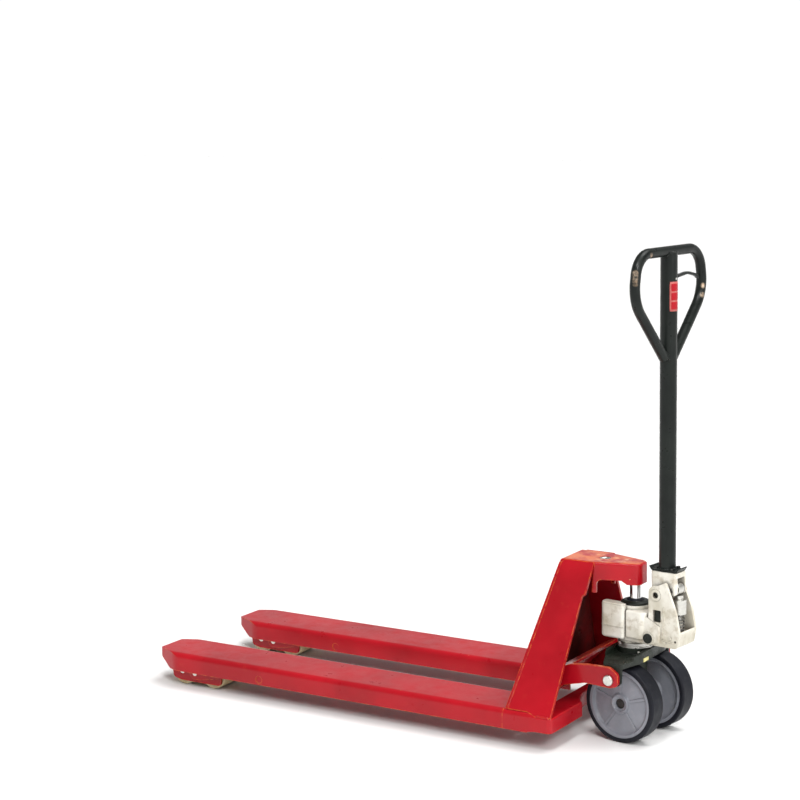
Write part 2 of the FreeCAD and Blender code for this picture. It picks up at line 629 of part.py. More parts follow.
def yoke():
    """Drawbar socket: a block over two arms that straddle the pressure roller."""
    outline = slab("xz", [
        (61, YOKE_TOP), (64, 361, 19), (104, 359, 19), (106, 376, 6), (134, 380, 12), (134, 410, 10),
        (131, YOKE_TOP),
    ], -27, 27)
    outline = outline.common(slab("xy", [(60, -27, 8), (134, -27, 8), (134, 27, 8), (60, 27, 8)], 300, 500))
    pocket = slab("xz", [(40, 340), (160, 340), (160, 424), (62, 424), (40, 410)], -17, 17)
    sleeve = across(PIVOT_X, PIVOT_Z, 13.0, 26, CHEEK_IN - 0.5)
    body = fuse(cut(outline, pocket), both(sleeve))
    return cut(
        body,
        across(PIVOT_X, PIVOT_Z, 8.0 + SHAFT_GAP, -60, 60),
        across(PIVOT_X + ROLLER_DX, PIVOT_Z + ROLLER_DZ, 5.0, -30, 30),
        upright(TUBE_X, 0, 12.0, 400, 460),
        *[upright(x, y, 3.0, 426, 460) for x, y in BOLTS],
    )


def flange():
    """Saddle plate with both ends curled up."""
    bent = slab("xz", [
        (52, 447, 1), (54, 449, 1), (61, 443, 6), (129, 443, 6), (136, 450, 1), (138, 448, 1), (131, YOKE_TOP, 10),
        (59, YOKE_TOP, 10),
    ], -21, 21)
    return cut(bent, upright(TUBE_X, 0, 12.0, 400, 460), *[upright(x, y, 3.0, 430, 460) for x, y in BOLTS])


def flange_bolt(x, y):
    return fuse(upright(x, y, 3.0, 426, 443), cut(upright(x, y, 4.8, 443, 448), upright(x, y, 2.2, 445.5, 452)))


def loop_path():
    """Centre line of the handle loop: up one side, across the top and down the other."""
    half = [(22, 980, 0), (167, 1134, 96), (147, LOOP_TOP, 60)]
    corners = [(Vector(TUBE_X, y, z), radius) for y, z, radius in half]
    corners += [(Vector(TUBE_X, -y, z), radius) for y, z, radius in reversed(half)]
    edges = []
    start = corners[0][0]
    for index in range(1, len(corners) - 1):
        corner, radius = corners[index]
        before = (corners[index - 1][0] - corner).normalize()
        after = (corners[index + 1][0] - corner).normalize()
        half_angle = before.getAngle(after) / 2
        reach = radius / math.tan(half_angle)
        crown = corner + (before + after).normalize() * (radius / math.sin(half_angle) - radius)
        edges.append(Part.LineSegment(start, corner + before * reach).toShape())
        edges.append(Part.Arc(corner + before * reach, crown, corner + after * reach).toShape())
        start = corner + after * reach
    edges.append(Part.LineSegment(start, corners[-1][0]).toShape())
    return Part.Wire(edges)


def handle_loop():
    path = loop_path()
    first = path.Edges[0]
    heading = first.tangentAt(first.FirstParameter)
    start = first.valueAt(first.FirstParameter)
    walls = []
    for radius in (LOOP_R, LOOP_R - 2.5):
        ring = Part.Wire([Part.makeCircle(radius, start, heading)])
        walls.append(path.makePipeShell([ring], True, True))
    return cut(walls[0], walls[1], upright(TUBE_X, 0, TUBE_R, 900, LOOP_TOP - LOOP_R + 3))


def drawbar_tube():
    top_bar = Part.makeCylinder(LOOP_R, 80, Vector(TUBE_X, -40, LOOP_TOP), Vector(0, 1, 0))
    tube = cut(upright(TUBE_X, 0, TUBE_R, 443, LOOP_TOP), top_bar, handle_loop())
    bore = upright(TUBE_X, 0, TUBE_R - 3, 430, LOOP_TOP - LOOP_R - 6)
    slot = block(TUBE_X - 6, TUBE_X + 6, 0, 30, LEVER_Z - 26, LEVER_Z + 22)
    return cut(tube, bore, slot, along(0, LEVER_Z, 3.0, TUBE_X - 30, TUBE_X + 30))


def control_lever():
    """Finger lever: a flat bar inside the tube and an arched rod out towards the loop."""
    hub = along(0, LEVER_Z, 8.0, TUBE_X - 5, TUBE_X + 5)
    tail = slab("yz", [
        (-15, LEVER_Z - 4), (16, LEVER_Z - 5), (44, LEVER_Z, 20), (88, LEVER_Z + 5, 70), (126, LEVER_Z - 3, 40),
        (140, LEVER_Z - 11, 2), (143, LEVER_Z - 5, 2), (126, LEVER_Z + 4, 40), (88, LEVER_Z + 12, 70),
        (44, LEVER_Z + 7, 20), (16, LEVER_Z + 4), (-15, LEVER_Z + 4),
    ], TUBE_X - 4, TUBE_X + 4)
    body = fuse(hub, tail)
    return cut(body, along(0, LEVER_Z, 3.0 + SHAFT_GAP, TUBE_X - 30, TUBE_X + 30))


parts["drawbar_yoke"] = yoke()
parts["drawbar_flange"] = flange()
parts["flange_bolts"] = group([flange_bolt(x, y) for x, y in BOLTS])
parts["drawbar_tube"] = drawbar_tube()
parts["handle_loop"] = handle_loop()
parts["drawbar_pins"] = group([
    across(PIVOT_X + ROLLER_DX, PIVOT_Z + ROLLER_DZ, 5.0, -28, 28),
    along(0, LEVER_Z, 3.0, TUBE_X - TUBE_R, TUBE_X + TUBE_R),
])
parts["pressure_roller"] = cut(
    spin([(-13, 0), (13, 0), (13, 15, 2), (-13, 15, 2)], PIVOT_X + ROLLER_DX, PIVOT_Z + ROLLER_DZ),
    across(PIVOT_X + ROLLER_DX, PIVOT_Z + ROLLER_DZ, 5.0 + SHAFT_GAP, -20, 20),
)
parts["control_lever"] = control_lever()
parts["pull_rod"] = upright(TUBE_X, -10.5, 2.5, 446, LEVER_Z - 7)

STEERED = (
    "king_post", "pump_body", "plunger_housing", "oil_reservoir", "reservoir_lid", "cylinder_cap", "oil_plugs",
    "pivot_pins", "plunger_spring", "wheel_axle", "circlips", "steer_wheel_left", "steer_tyre_left",
    "wheel_bush_left", "steer_wheel_right", "steer_tyre_right", "wheel_bush_right", "ram_rod", "pump_plunger",
    "release_lever", "drawbar_yoke", "drawbar_flange", "flange_bolts", "drawbar_tube", "handle_loop",
    "drawbar_pins", "pressure_roller", "control_lever", "pull_rod",
)

for node in STEERED:
    parts[node] = steered(parts[node])

# The origin goes to the middle of the bounding box, on the floor.
whole = FreeCAD.BoundBox()
for shape in parts.values():
    whole.add(shape.optimalBoundingBox(False))
to_origin = Vector(-whole.Center.x, 0, 0)

os.makedirs("parts", exist_ok=True)
for node, shape in parts.items():
    shape.translate(to_origin)
    shape.exportStep("parts/" + node + ".step")
    print(node, shape.isValid(), len(shape.Solids), round(shape.Volume / 1000.0, 1))
print("steering axis at x =", round(to_origin.x, 3), "box", whole.XLength, whole.YLength, whole.ZLength, whole.ZMin)
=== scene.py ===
import json
import math
import random

import bmesh
import bpy
from mathutils import Matrix, Vector


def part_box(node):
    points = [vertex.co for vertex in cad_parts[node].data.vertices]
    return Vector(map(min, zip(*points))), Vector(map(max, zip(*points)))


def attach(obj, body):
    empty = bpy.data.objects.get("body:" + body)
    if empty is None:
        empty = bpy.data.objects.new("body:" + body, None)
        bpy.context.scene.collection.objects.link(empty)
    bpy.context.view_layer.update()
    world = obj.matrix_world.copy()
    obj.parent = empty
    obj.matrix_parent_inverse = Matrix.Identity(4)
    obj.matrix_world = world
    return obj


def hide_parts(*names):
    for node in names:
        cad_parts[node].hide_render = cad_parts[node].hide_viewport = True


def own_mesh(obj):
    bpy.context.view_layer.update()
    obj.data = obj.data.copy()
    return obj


# Looks of a hand pallet truck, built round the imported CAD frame. Units are metres.
# Steered pieces are placed in the steered unit's own axes by steered(): its X points at the
# operator, its Y to the left and its Z up, from the point on the floor under the steering axis.

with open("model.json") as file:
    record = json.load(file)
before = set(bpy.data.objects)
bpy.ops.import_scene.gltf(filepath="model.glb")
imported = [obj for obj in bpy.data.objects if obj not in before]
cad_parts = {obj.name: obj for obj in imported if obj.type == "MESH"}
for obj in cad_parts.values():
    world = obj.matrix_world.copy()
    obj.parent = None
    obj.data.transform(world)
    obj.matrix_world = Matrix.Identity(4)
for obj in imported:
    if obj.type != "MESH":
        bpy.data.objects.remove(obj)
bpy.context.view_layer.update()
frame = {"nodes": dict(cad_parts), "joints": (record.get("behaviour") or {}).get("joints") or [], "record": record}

NODES = frame["nodes"]
JOINTS = {joint["name"]: joint for joint in frame["joints"]}
STEER = Vector((*JOINTS["steer"]["pos_m"][:2], 0.0))
ACROSS = Vector(JOINTS["wheel_left_spin"]["axis"])
UP = Vector((0, 0, 1))
AHEAD = ACROSS.cross(UP)
STEERED_AXES = Matrix((AHEAD, ACROSS, UP)).transposed()
SIDES = ((1, "left"), (-1, "right"))


def steered(x, y, z):
    return STEER + STEERED_AXES @ Vector((x, y, z))


def fixed(x, y, z):
    """A point of the lift frame, measured from the floor under the steering axis."""
    return STEER + Vector((x, y, z))


# ------------------------------------------------------------------ node materials

class Paint:
    """A Principled material with short calls for the nodes that feed it."""

    def __init__(self, name, **sockets):
        self.material = bpy.data.materials.new(name)
        self.material.use_nodes = True
        self.tree = self.material.node_tree
        self.shader = self.tree.nodes["Principled BSDF"]
        for socket, value in sockets.items():
            self.shader.inputs[socket.replace("_", " ")].default_value = value
        self.place = self.add("ShaderNodeTexCoord").outputs["Object"]

    def add(self, kind, inputs=None, **settings):
        node = self.tree.nodes.new(kind)
        for key, value in settings.items():
            setattr(node, key, value)
        for key, value in (inputs or {}).items():
            self.feed(node.inputs[key], value)
        return node

    def feed(self, socket, value):
        if isinstance(value, bpy.types.NodeSocket):
            self.tree.links.new(value, socket)
        else:
            socket.default_value = value

    def noise(self, scale, detail=4.0, rough=0.55, stretch=None):
        where = self.place
        if stretch:
            where = self.add("ShaderNodeMapping", {"Vector": where, "Scale": stretch}).outputs["Vector"]
        node = self.add("ShaderNodeTexNoise", {
            "Vector": where, "Scale": scale, "Detail": detail, "Roughness": rough,
        })
        return node.outputs["Fac"]

    def cells(self, scale):
        node = self.add("ShaderNodeTexVoronoi", {"Vector": self.place, "Scale": scale})
        return node.outputs["Distance"]

    def step(self, value, low, high, start=0.0, end=1.0):
        """value mapped from low..high to start..end, and held there outside."""
        node = self.add("ShaderNodeMapRange", {
            "Value": value, "From Min": low, "From Max": high, "To Min": start, "To Max": end,
        })
        return node.outputs["Result"]

    def combine(self, operation, a, b):
        return self.add("ShaderNodeMath", {0: a, 1: b}, operation=operation).outputs["Value"]

    def times(self, a, b):
        return self.combine("MULTIPLY", a, b)

    def blend(self, share, a, b):
        node = self.add("ShaderNodeMix", {"Factor": share}, data_type="RGBA")
        self.feed(node.inputs[6], rgba(a))
        self.feed(node.inputs[7], rgba(b))
        return node.outputs[2]

    def edges(self, radius):
        """1 on outside and inside corners tighter than radius, 0 on flat stretches."""
        soft = self.add("ShaderNodeBevel", {"Radius": radius}, samples=4).outputs["Normal"]
        true = self.add("ShaderNodeNewGeometry").outputs["Normal"]
        agreement = self.add("ShaderNodeVectorMath", {0: soft, 1: true}, operation="DOT_PRODUCT")
        return self.step(agreement.outputs["Value"], 0.98, 0.78)

    def hollows(self, distance):
        """1 in crevices, 0 where the surface is open; an ambient-occlusion mask that paints shade into crevices.
        """
        open_share = self.add("ShaderNodeAmbientOcclusion", {"Distance": distance}, samples=6).outputs["AO"]
        return self.step(open_share, 0.75, 0.25)

    def facing(self, axis):
        """How far the surface faces along axis, from 1 to -1."""
        normal = self.add("ShaderNodeNewGeometry").outputs["Normal"]
        return self.add("ShaderNodeSeparateXYZ", {0: normal}).outputs[axis]

    def near(self, points, radius):
        """1 close to any of the points (object space), fading to 0 at radius."""
        total = None
        for point in points:
            gap = self.add("ShaderNodeVectorMath", {0: self.place, 1: point}, operation="DISTANCE")
            share = self.step(gap.outputs["Value"], radius, radius * 0.35)
            total = share if total is None else self.combine("MAXIMUM", total, share)
        return total

    def bump(self, *layers, round_off=0.0):
        """Stacks (height, strength, distance) layers, on corners rounded by round_off."""
        normal = None
        if round_off:
            normal = self.add("ShaderNodeBevel", {"Radius": round_off}, samples=4).outputs["Normal"]
        for height, strength, distance in layers:
            node = self.add("ShaderNodeBump", {"Height": height, "Strength": strength, "Distance": distance})
            if normal is not None:
                self.feed(node.inputs["Normal"], normal)
            normal = node.outputs["Normal"]
        self.feed(self.shader.inputs["Normal"], normal)

    def colour(self, value):
        self.feed(self.shader.inputs["Base Color"], value)

    def rough(self, value):
        self.feed(self.shader.inputs["Roughness"], value)


def rgba(colour):
    return colour if isinstance(colour, bpy.types.NodeSocket) else (*colour, 1.0)


RED = (0.43, 0.0030, 0.011)
RED_DEEP = (0.31, 0.0022, 0.008)
RED_DUSTY = (0.46, 0.07, 0.03)
RED_WORN_AND_SHEEN = (0.66, 0.17, 0.06)
RED_PALE_WORN_AND_SHEEN = (0.78, 0.47, 0.28)
RED_PAINTED_SIDE_SHADE = (0.030, 0.010, 0.008)
RED_PAINTED_CREVICE_SHADE = (0.05, 0.006, 0.008)
ORANGE_CHIP_AND_HIGHLIGHT = (0.80, 0.20, 0.035)
PRIMER = (0.86, 0.46, 0.24)

CREAM_DULL = (0.56, 0.52, 0.42)
CREAM = (0.80, 0.77, 0.69)
CREAM_RUBBED = (0.86, 0.80, 0.66)
CREAM_STAIN = (0.34, 0.27, 0.16)
OIL_RUN = (0.16, 0.12, 0.07)
GRIME_AND_PAINTED_SHADE = (0.035, 0.024, 0.014)

BLACK_DEEP = (0.004, 0.0055, 0.005)
BLACK = (0.010, 0.013, 0.011)
BLACK_SCUFFED = (0.06, 0.07, 0.065)
CHIPPED_GREY = (0.22, 0.22, 0.21)
RUST_AND_GLINT = (0.50, 0.24, 0.08)
BARE_STEEL_AND_GLINT = (0.60, 0.58, 0.50)

OILY_DEEP = (0.003, 0.0045, 0.003)
OILY = (0.020, 0.026, 0.018)
OILY_DUST = (0.09, 0.10, 0.07)
METAL_PAINTED_SHADE = (0.04, 0.03, 0.02)


def red_paint(name, top_wear_and_sheen=0.0, operator_side_shade=0.0):
    """Glossy red, its edges chipping to orange that is also a painted highlight; the first option pales upward
    faces with wear and a painted sheen, the second paints shade onto faces turned toward the operator.
    """
    p = Paint(name, Coat_Weight=0.28, Coat_Roughness=0.12, Specular_IOR_Level=0.16)
    clouds = p.noise(6.0, 3.0)
    tone = p.blend(p.step(clouds, 0.35, 0.68), RED_DEEP, RED)
    dust = p.step(p.noise(38.0, 6.0, 0.7), 0.58, 0.82, 0.0, 0.22)
    tone = p.blend(dust, tone, RED_DUSTY)
    # Orange along edges: paint chips, and also a painted highlight there.
    chipped_and_highlit = p.times(p.edges(0.0034), p.step(p.noise(60.0, 5.0, 0.65), 0.40, 0.58))
    tone = p.blend(chipped_and_highlit, tone, ORANGE_CHIP_AND_HIGHLIGHT)
    specks = p.step(p.cells(46.0), 0.055, 0.035)
    specks = p.times(specks, p.step(p.noise(9.0, 2.0), 0.60, 0.66))
    tone = p.blend(specks, tone, PRIMER)
    # Upward faces paled: rubbed wear, and also a painted sheen of the overhead light.
    if top_wear_and_sheen:
        flat = p.step(p.facing("Z"), 0.80, 0.98)
        patch = p.step(p.noise(20.0, 6.0, 0.6), 0.40, 0.58, 0.0, top_wear_and_sheen)
        worn = p.times(flat, patch)
        tone = p.blend(worn, tone, RED_WORN_AND_SHEEN)
        pale = p.times(flat, p.step(p.noise(34.0, 5.0, 0.6), 0.56, 0.70, 0.0, top_wear_and_sheen * 0.8))
        tone = p.blend(pale, tone, RED_PALE_WORN_AND_SHEEN)
    # Painted shade: uneven darkening on faces turned toward the operator.
    if operator_side_shade:
        painted_side_shade = p.step(p.noise(11.0, 5.0), 0.20, 0.55, 0.55 * operator_side_shade, operator_side_shade)
        tone = p.blend(p.times(painted_side_shade, p.step(p.facing("X"), 0.1, 0.6)), tone, RED_PAINTED_SIDE_SHADE)
    # Painted shade: darker red in crevices.
    tone = p.blend(p.times(p.hollows(0.03), 0.55), tone, RED_PAINTED_CREVICE_SHADE)
    p.colour(tone)
    p.rough(p.step(p.noise(24.0, 5.0, 0.65), 0.3, 0.7, 0.26, 0.46))
    p.bump((p.noise(210.0, 3.0), 0.10, 0.0006), (p.noise(17.0, 2.0), 0.20, 0.0012), round_off=0.0018)
    return p.material


def cast_paint(name):
    """Cream paint on a rough casting, stained and oil-run, its crevices darkened by grime and painted shade."""
    p = Paint(name, Coat_Weight=0.15, Coat_Roughness=0.3)
    tone = p.blend(p.step(p.noise(14.0, 4.0), 0.35, 0.65), CREAM_DULL, CREAM)
    stain = p.step(p.noise(30.0, 7.0, 0.68), 0.52, 0.70, 0.0, 0.65)
    tone = p.blend(stain, tone, CREAM_STAIN)
    # Crevices: grime, and also painted shade.
    tone = p.blend(p.times(p.hollows(0.030), 0.95), tone, GRIME_AND_PAINTED_SHADE)
    rubbed = p.times(p.edges(0.0025), p.step(p.noise(70.0, 4.0), 0.42, 0.60, 0.0, 0.8))
    tone = p.blend(rubbed, tone, CREAM_RUBBED)
    drips = p.step(p.noise(60.0, 6.0, 0.7, stretch=(1.0, 1.0, 0.25)), 0.63, 0.72, 0.0, 0.7)
    tone = p.blend(drips, tone, OIL_RUN)
    p.colour(tone)
    p.rough(p.step(p.noise(40.0, 4.0), 0.3, 0.7, 0.34, 0.60))
    p.bump((p.noise(420.0, 4.0, 0.6), 0.30, 0.0009), (p.noise(60.0, 3.0), 0.35, 0.0015), round_off=0.0028)
    return p.material


def black_enamel(name, bare_and_glint_points, bare_and_glint_radius):
    """Black paint, rubbed through to rusty steel close to the given points, where the patches are also a painted
    highlight.
    """
    p = Paint(name, Coat_Weight=0.04, Coat_Roughness=0.15, Specular_IOR_Level=0.20)
    tone = p.blend(p.step(p.noise(12.0, 4.0), 0.35, 0.68), BLACK_DEEP, BLACK)
    scuff = p.step(p.noise(120.0, 6.0, 0.7, stretch=(1.0, 1.0, 0.12)), 0.62, 0.75, 0.0, 0.20)
    tone = p.blend(scuff, tone, BLACK_SCUFFED)
    chip = p.times(p.edges(0.002), p.step(p.noise(80.0, 4.0), 0.50, 0.62))
    tone = p.blend(chip, tone, CHIPPED_GREY)
    # Rubbed-through patches: worn paint, and also a painted highlight.
    bare_and_glint = p.near(bare_and_glint_points, bare_and_glint_radius)
    bare_and_glint = p.times(bare_and_glint, p.step(p.noise(150.0, 6.0, 0.65, stretch=(1.0, 1.0, 0.4)), 0.36, 0.56))
    tone = p.blend(bare_and_glint, tone, p.blend(p.noise(120.0), RUST_AND_GLINT, BARE_STEEL_AND_GLINT))
    p.feed(p.shader.inputs["Metallic"], p.times(bare_and_glint, 0.55))
    p.colour(tone)
    p.rough(p.step(p.noise(45.0, 4.0), 0.3, 0.7, 0.24, 0.44))
    p.bump((p.noise(260.0, 3.0), 0.12, 0.0006), round_off=0.0015)
    return p.material


def oily_casting(name):
    """Black casting under a film of oil and dust."""
    p = Paint(name, Specular_IOR_Level=0.30)
    tone = p.blend(p.step(p.noise(22.0, 5.0), 0.35, 0.68), OILY_DEEP, OILY)
    tone = p.blend(p.step(p.noise(75.0, 6.0, 0.7), 0.62, 0.76, 0.0, 0.5), tone, OILY_DUST)
    p.colour(tone)
    p.rough(p.step(p.noise(28.0, 5.0), 0.35, 0.68, 0.24, 0.62))
    p.bump((p.noise(330.0, 4.0, 0.6), 0.45, 0.0012), (p.noise(48.0, 3.0), 0.4, 0.002), round_off=0.0022)
    return p.material


def metal(name, low, high, rough, grain=(1.0, 1.0, 1.0)):
    """Bare metal between two tones and two roughnesses; grain stretches its marks."""
    p = Paint(name, Metallic=1.0)
    tone = p.blend(p.noise(140.0, 5.0, 0.6, stretch=grain), low, high)
    # Painted shade: darker in crevices.
    tone = p.blend(p.times(p.hollows(0.012), 0.3), tone, METAL_PAINTED_SHADE)
    p.colour(tone)
    p.rough(p.step(p.noise(84.0, 4.0, 0.6, stretch=grain), 0.3, 0.7, *rough))
    p.bump((p.noise(420.0, 3.0, 0.6, stretch=grain), 0.12, 0.0004), round_off=0.0008)
    return p.material


def moulded(name, low, high, rough, dust=(0.5, 0.47, 0.42), dusty=0.25, shine=0.45):
    """Moulded plastic or rubber between two tones, with a share of dust on it."""
    p = Paint(name, Specular_IOR_Level=shine)
    tone = p.blend(p.step(p.noise(10.0, 4.0), 0.35, 0.68), low, high)
    tone = p.blend(p.step(p.noise(55.0, 6.0, 0.7), 0.55, 0.78, 0.0, dusty), tone, dust)
    # Painted shade: darker in crevices.
    tone = p.blend(p.times(p.hollows(0.02), 0.6), tone, tuple(0.25 * c for c in low))
    p.colour(tone)
    p.rough(p.step(p.noise(30.0, 4.0), 0.3, 0.7, *rough))
    p.bump((p.noise(380.0, 3.0), 0.10, 0.0005), round_off=0.0015)
    return p.material


# How far ahead of the steering axis the loop stands.
LOOP_AHEAD = 0.093


def loop_worn_and_glint_points():
    """Where the loop's paint is rubbed through, also a painted highlight, as tuples: its right side, its upper
    right corner, its left side.
    """
    low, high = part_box("handle_loop")
    reach = (high - low).y / 2 - 0.008
    spots = [(0.004, -reach - 0.001, drop) for drop in (0.056, 0.063, 0.070, 0.077, 0.084)]
    spots += [(0.008, -0.104, 0.016), (0.012, reach - 0.014, 0.110), (0.012, reach - 0.018, 0.134)]
    return [tuple(steered(LOOP_AHEAD + x, y, high.z - drop)) for x, y, drop in spots]


MATERIALS = {
    "red_paint": red_paint("red_enamel"),
    "cream_paint": cast_paint("cream_casting_paint"),
    "black_paint": black_enamel("black_enamel", loop_worn_and_glint_points(), 0.0085),
    "black_casting": oily_casting("oily_black_casting"),
    "chrome": metal("hard_chrome", (0.72, 0.73, 0.75), (0.86, 0.87, 0.88), (0.06, 0.16), (1.0, 1.0, 9.0)),
    "bright_steel": metal("zinc_plate", (0.48, 0.47, 0.43), (0.80, 0.79, 0.75), (0.24, 0.48)),
    "spring_steel": metal("oiled_steel", (0.10, 0.10, 0.10), (0.26, 0.25, 0.23), (0.28, 0.50)),
    "bronze": metal("bearing_bronze", (0.36, 0.22, 0.09), (0.62, 0.42, 0.18), (0.25, 0.45)),
    "wheel_grey": moulded("grey_moulding", (0.18, 0.187, 0.215), (0.25, 0.257, 0.29), (0.26, 0.42)),
    "tyre_rubber": moulded("black_rubber", (0.007, 0.0075, 0.011), (0.013, 0.014, 0.020), (0.42, 0.64),
                           dust=(0.05, 0.049, 0.048), dusty=0.3, shine=0.16),
    "cream_nylon": moulded("cream_nylon", (0.66, 0.52, 0.28), (0.80, 0.70, 0.45), (0.32, 0.50),
                           dust=(0.30, 0.22, 0.12), dusty=0.5),
}
DARK_STEEL = metal("oil_black_steel", (0.03, 0.03, 0.03), (0.09, 0.09, 0.085), (0.34, 0.55))

# Nodes that don't look like their slot's plain material.
LOOKS = {
    # Head top and rocker tops: wear with a painted sheen.
    "head_nose": red_paint("red_enamel_worn_sheened_top", 0.9),
    "rocker_arms": red_paint("red_enamel_rubbed_sheened_top", 0.45),
    # Back plate: painted shade on its faces turned toward the operator.
    "carriage_plate": red_paint("red_enamel_painted_side_shade", operator_side_shade=0.95),
}
for oily in ("wheel_axle", "circlips", "pivot_pins", "flange_bolts", "release_lever"):
    LOOKS[oily] = DARK_STEEL

for part in frame["record"]["subparts"]:
    node = NODES[part["node"]]
    look = LOOKS.get(part["node"], MATERIALS[part["material_slot"]])
    node.data.materials.clear()
    node.data.materials.append(look)


# ------------------------------------------------------------------ building pieces

def piece(mesh, body, slot, look=None, smooth=True):
    """Puts a mesh in the scene under its own name, riding on a body."""
    mesh.materials.append(look or MATERIALS[slot])
    mesh.polygons.foreach_set("use_smooth", [smooth] * len(mesh.polygons))
    made = bpy.data.objects.new(mesh.name, mesh)
    bpy.context.scene.collection.objects.link(made)
    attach(made, body)
    return made


def mesh_from(name, points, faces):
    """A mesh with its faces turned outward."""
    mesh = bpy.data.meshes.new(name)
    mesh.from_pydata([tuple(p) for p in points], [], faces)
    tidy = bmesh.new()
    tidy.from_mesh(mesh)
    bmesh.ops.recalc_face_normals(tidy, faces=tidy.faces)
    tidy.to_mesh(mesh)
    tidy.free()
    return mesh


def swept(name, path, radii, sides=10):
    """A tube along path with closed ends; radii gives one radius a point."""
    rings = []
    points = []
    for index, place in enumerate(path):
        ahead = path[min(index + 1, len(path) - 1)] - path[max(index - 1, 0)]
        ahead.normalize()
        side = ahead.cross(UP)
        if side.length < 1e-4:
            side = ahead.cross(Vector((1, 0, 0)))
        side.normalize()
        rise = side.cross(ahead)
        ring = []
        for step in range(sides):
            angle = math.tau * step / sides
            offset = side * math.cos(angle) + rise * math.sin(angle)
            ring.append(len(points))
            points.append(place + offset * radii[index])
        rings.append(ring)
    faces = []
    for a, b in zip(rings, rings[1:]):
        for step in range(sides):
            after = (step + 1) % sides
            faces.append((a[step], a[after], b[after], b[step]))
    for ring, place in ((rings[0], path[0]), (rings[-1], path[-1])):
        centre = len(points)
        points.append(place)
        for step in range(sides):
            faces.append((ring[step], ring[(step + 1) % sides], centre))
    return mesh_from(name, points, faces)


def through(corners, counts):
    """Points on the straight runs between corners, with counts points on each run, ends included."""
    path = []
    for start, end, count in zip(corners, corners[1:], counts):
        path += [start.lerp(end, index / (count - 1)) for index in range(count - 1)]
    return path + [corners[-1]]


def bead(name, corners, radius, sides):
    """A thin round ridge of even thickness through corners."""
    path = through(corners, [8] * (len(corners) - 1))
    return swept(name, path, [radius] * len(path), sides)


def weld(name, corners, radius, body, slot="red_paint"):
    """A fillet weld: overlapping ripples along the runs between corners, thinner at both ends."""
    dice = random.Random(name)
    runs = [(end - start).length for start, end in zip(corners, corners[1:])]
    path = through(corners, [max(4, int(run / (radius * 0.30))) for run in runs])
    radii = []
    for index in range(len(path)):
        ripple = 0.10 * math.sin(index * math.tau / 5.0) + dice.uniform(-0.05, 0.05)
        fade = min(1.0, (index + 1) / 5.0, (len(path) - index) / 5.0)
        radii.append(radius * (0.95 + ripple) * (0.45 + 0.55 * fade))
    return piece(swept(name, path, radii), body, slot)


def turned(name, profile, centre, axis, steps=40):
    """A turned mesh with flat ends: profile is (distance along axis, radius) pairs from centre."""
    axis = axis.normalized()
    side = axis.orthogonal().normalized()
    other = axis.cross(side)
    points = []
    for distance, radius in profile:
        for step in range(steps):
            angle = math.tau * step / steps
            arm = side * math.cos(angle) + other * math.sin(angle)
            points.append(centre + axis * distance + arm * radius)
    faces = []
    for row in range(len(profile) - 1):
        for step in range(steps):
            after = (step + 1) % steps
            low, high = row * steps, (row + 1) * steps
            faces.append((low + step, low + after, high + after, high + step))
    faces.append(tuple(range(steps)))
    faces.append(tuple(range((len(profile) - 1) * steps, len(profile) * steps)))
    return mesh_from(name, points, faces)


def hexagon(name, centre, axis, across_flats, height):
    """A hex head with chamfered corners and a shallow washer face."""
    corner = across_flats / math.sqrt(3)
    washer, top = across_flats * 0.56, across_flats * 0.46
    profile = [(0, washer), (height * 0.08, washer), (height * 0.08, corner), (height * 0.85, corner),
               (height, top)]
    return turned(name, profile, centre, axis, steps=6)


def rounded_plate(name, width, height, thick, corner):
    """A thin plate in its own XY, with rounded corners and a softened rim, centred on its origin."""
    outline = []
    for cx, cy, start in ((1, 1, 0), (-1, 1, 90), (-1, -1, 180), (1, -1, 270)):
        for step in range(6):
            angle = math.radians(start + 18 * step)
            outline.append((cx * (width / 2 - corner) + corner * math.cos(angle),
                            cy * (height / 2 - corner) + corner * math.sin(angle)))
    shrink = 1 - 2 * thick / max(width, height)
    layers = ((0.0, 1.0), (thick * 0.7, 1.0), (thick, shrink))
    points = []
    for lift, size in layers:
        points += [Vector((x * size, y * size, lift)) for x, y in outline]
    count = len(outline)
    faces = []
    for layer in range(len(layers) - 1):
        for step in range(count):
            after = (step + 1) % count
            low, high = layer * count, (layer + 1) * count
            faces.append((low + step, low + after, high + after, high + step))
    faces.append(tuple(range(count)))
    faces.append(tuple(range(2 * count, 3 * count)))
    return mesh_from(name, points, faces)


def set_at(mesh, centre, right, normal):
    """Moves a mesh so that its X runs along right and its Z along normal."""
    normal = normal.normalized()
    right = (right - normal * right.dot(normal)).normalized()
    turn = Matrix((right, normal.cross(right), normal)).transposed().to_4x4()
    mesh.transform(Matrix.Translation(centre) @ turn)
    return mesh


# ------------------------------------------------------------------ pump unit

SPRING_WIRE = 0.0016
SPRING_TURNS = 9
SPRING_STEPS_A_TURN = 26

# Places on the plunger housing and the reservoir, in the steered unit's axes: ahead, left and up.
CHEEK_FACE = 0.0432
HOUSING_BOLTS = ((0.112, 0.262), (0.128, 0.276))
RESERVOIR_SEAM_Z = 0.285
RESERVOIR_SEAM = ((-0.0010, -0.0573), (-0.0580, -0.0573), (-0.0681, -0.0531), (-0.0723, -0.0430),
                  (-0.0723, 0.0330), (-0.0652, 0.0502), (-0.0480, 0.0573), (-0.0010, 0.0573))
WINDOW_SHADE_PLATE_SIZE = (0.0215, 0.0305, 0.0016)
WINDOW_SHADE_PLATE_PLACE = (0.089, 0.0354, 0.3265)
CHEEK_RIBS = {
    "upright": ((0.104, 0.268), (0.1065, 0.315), (0.108, 0.352)),
    "foot": ((0.104, 0.268), (0.122, 0.2655), (0.140, 0.264)),
}


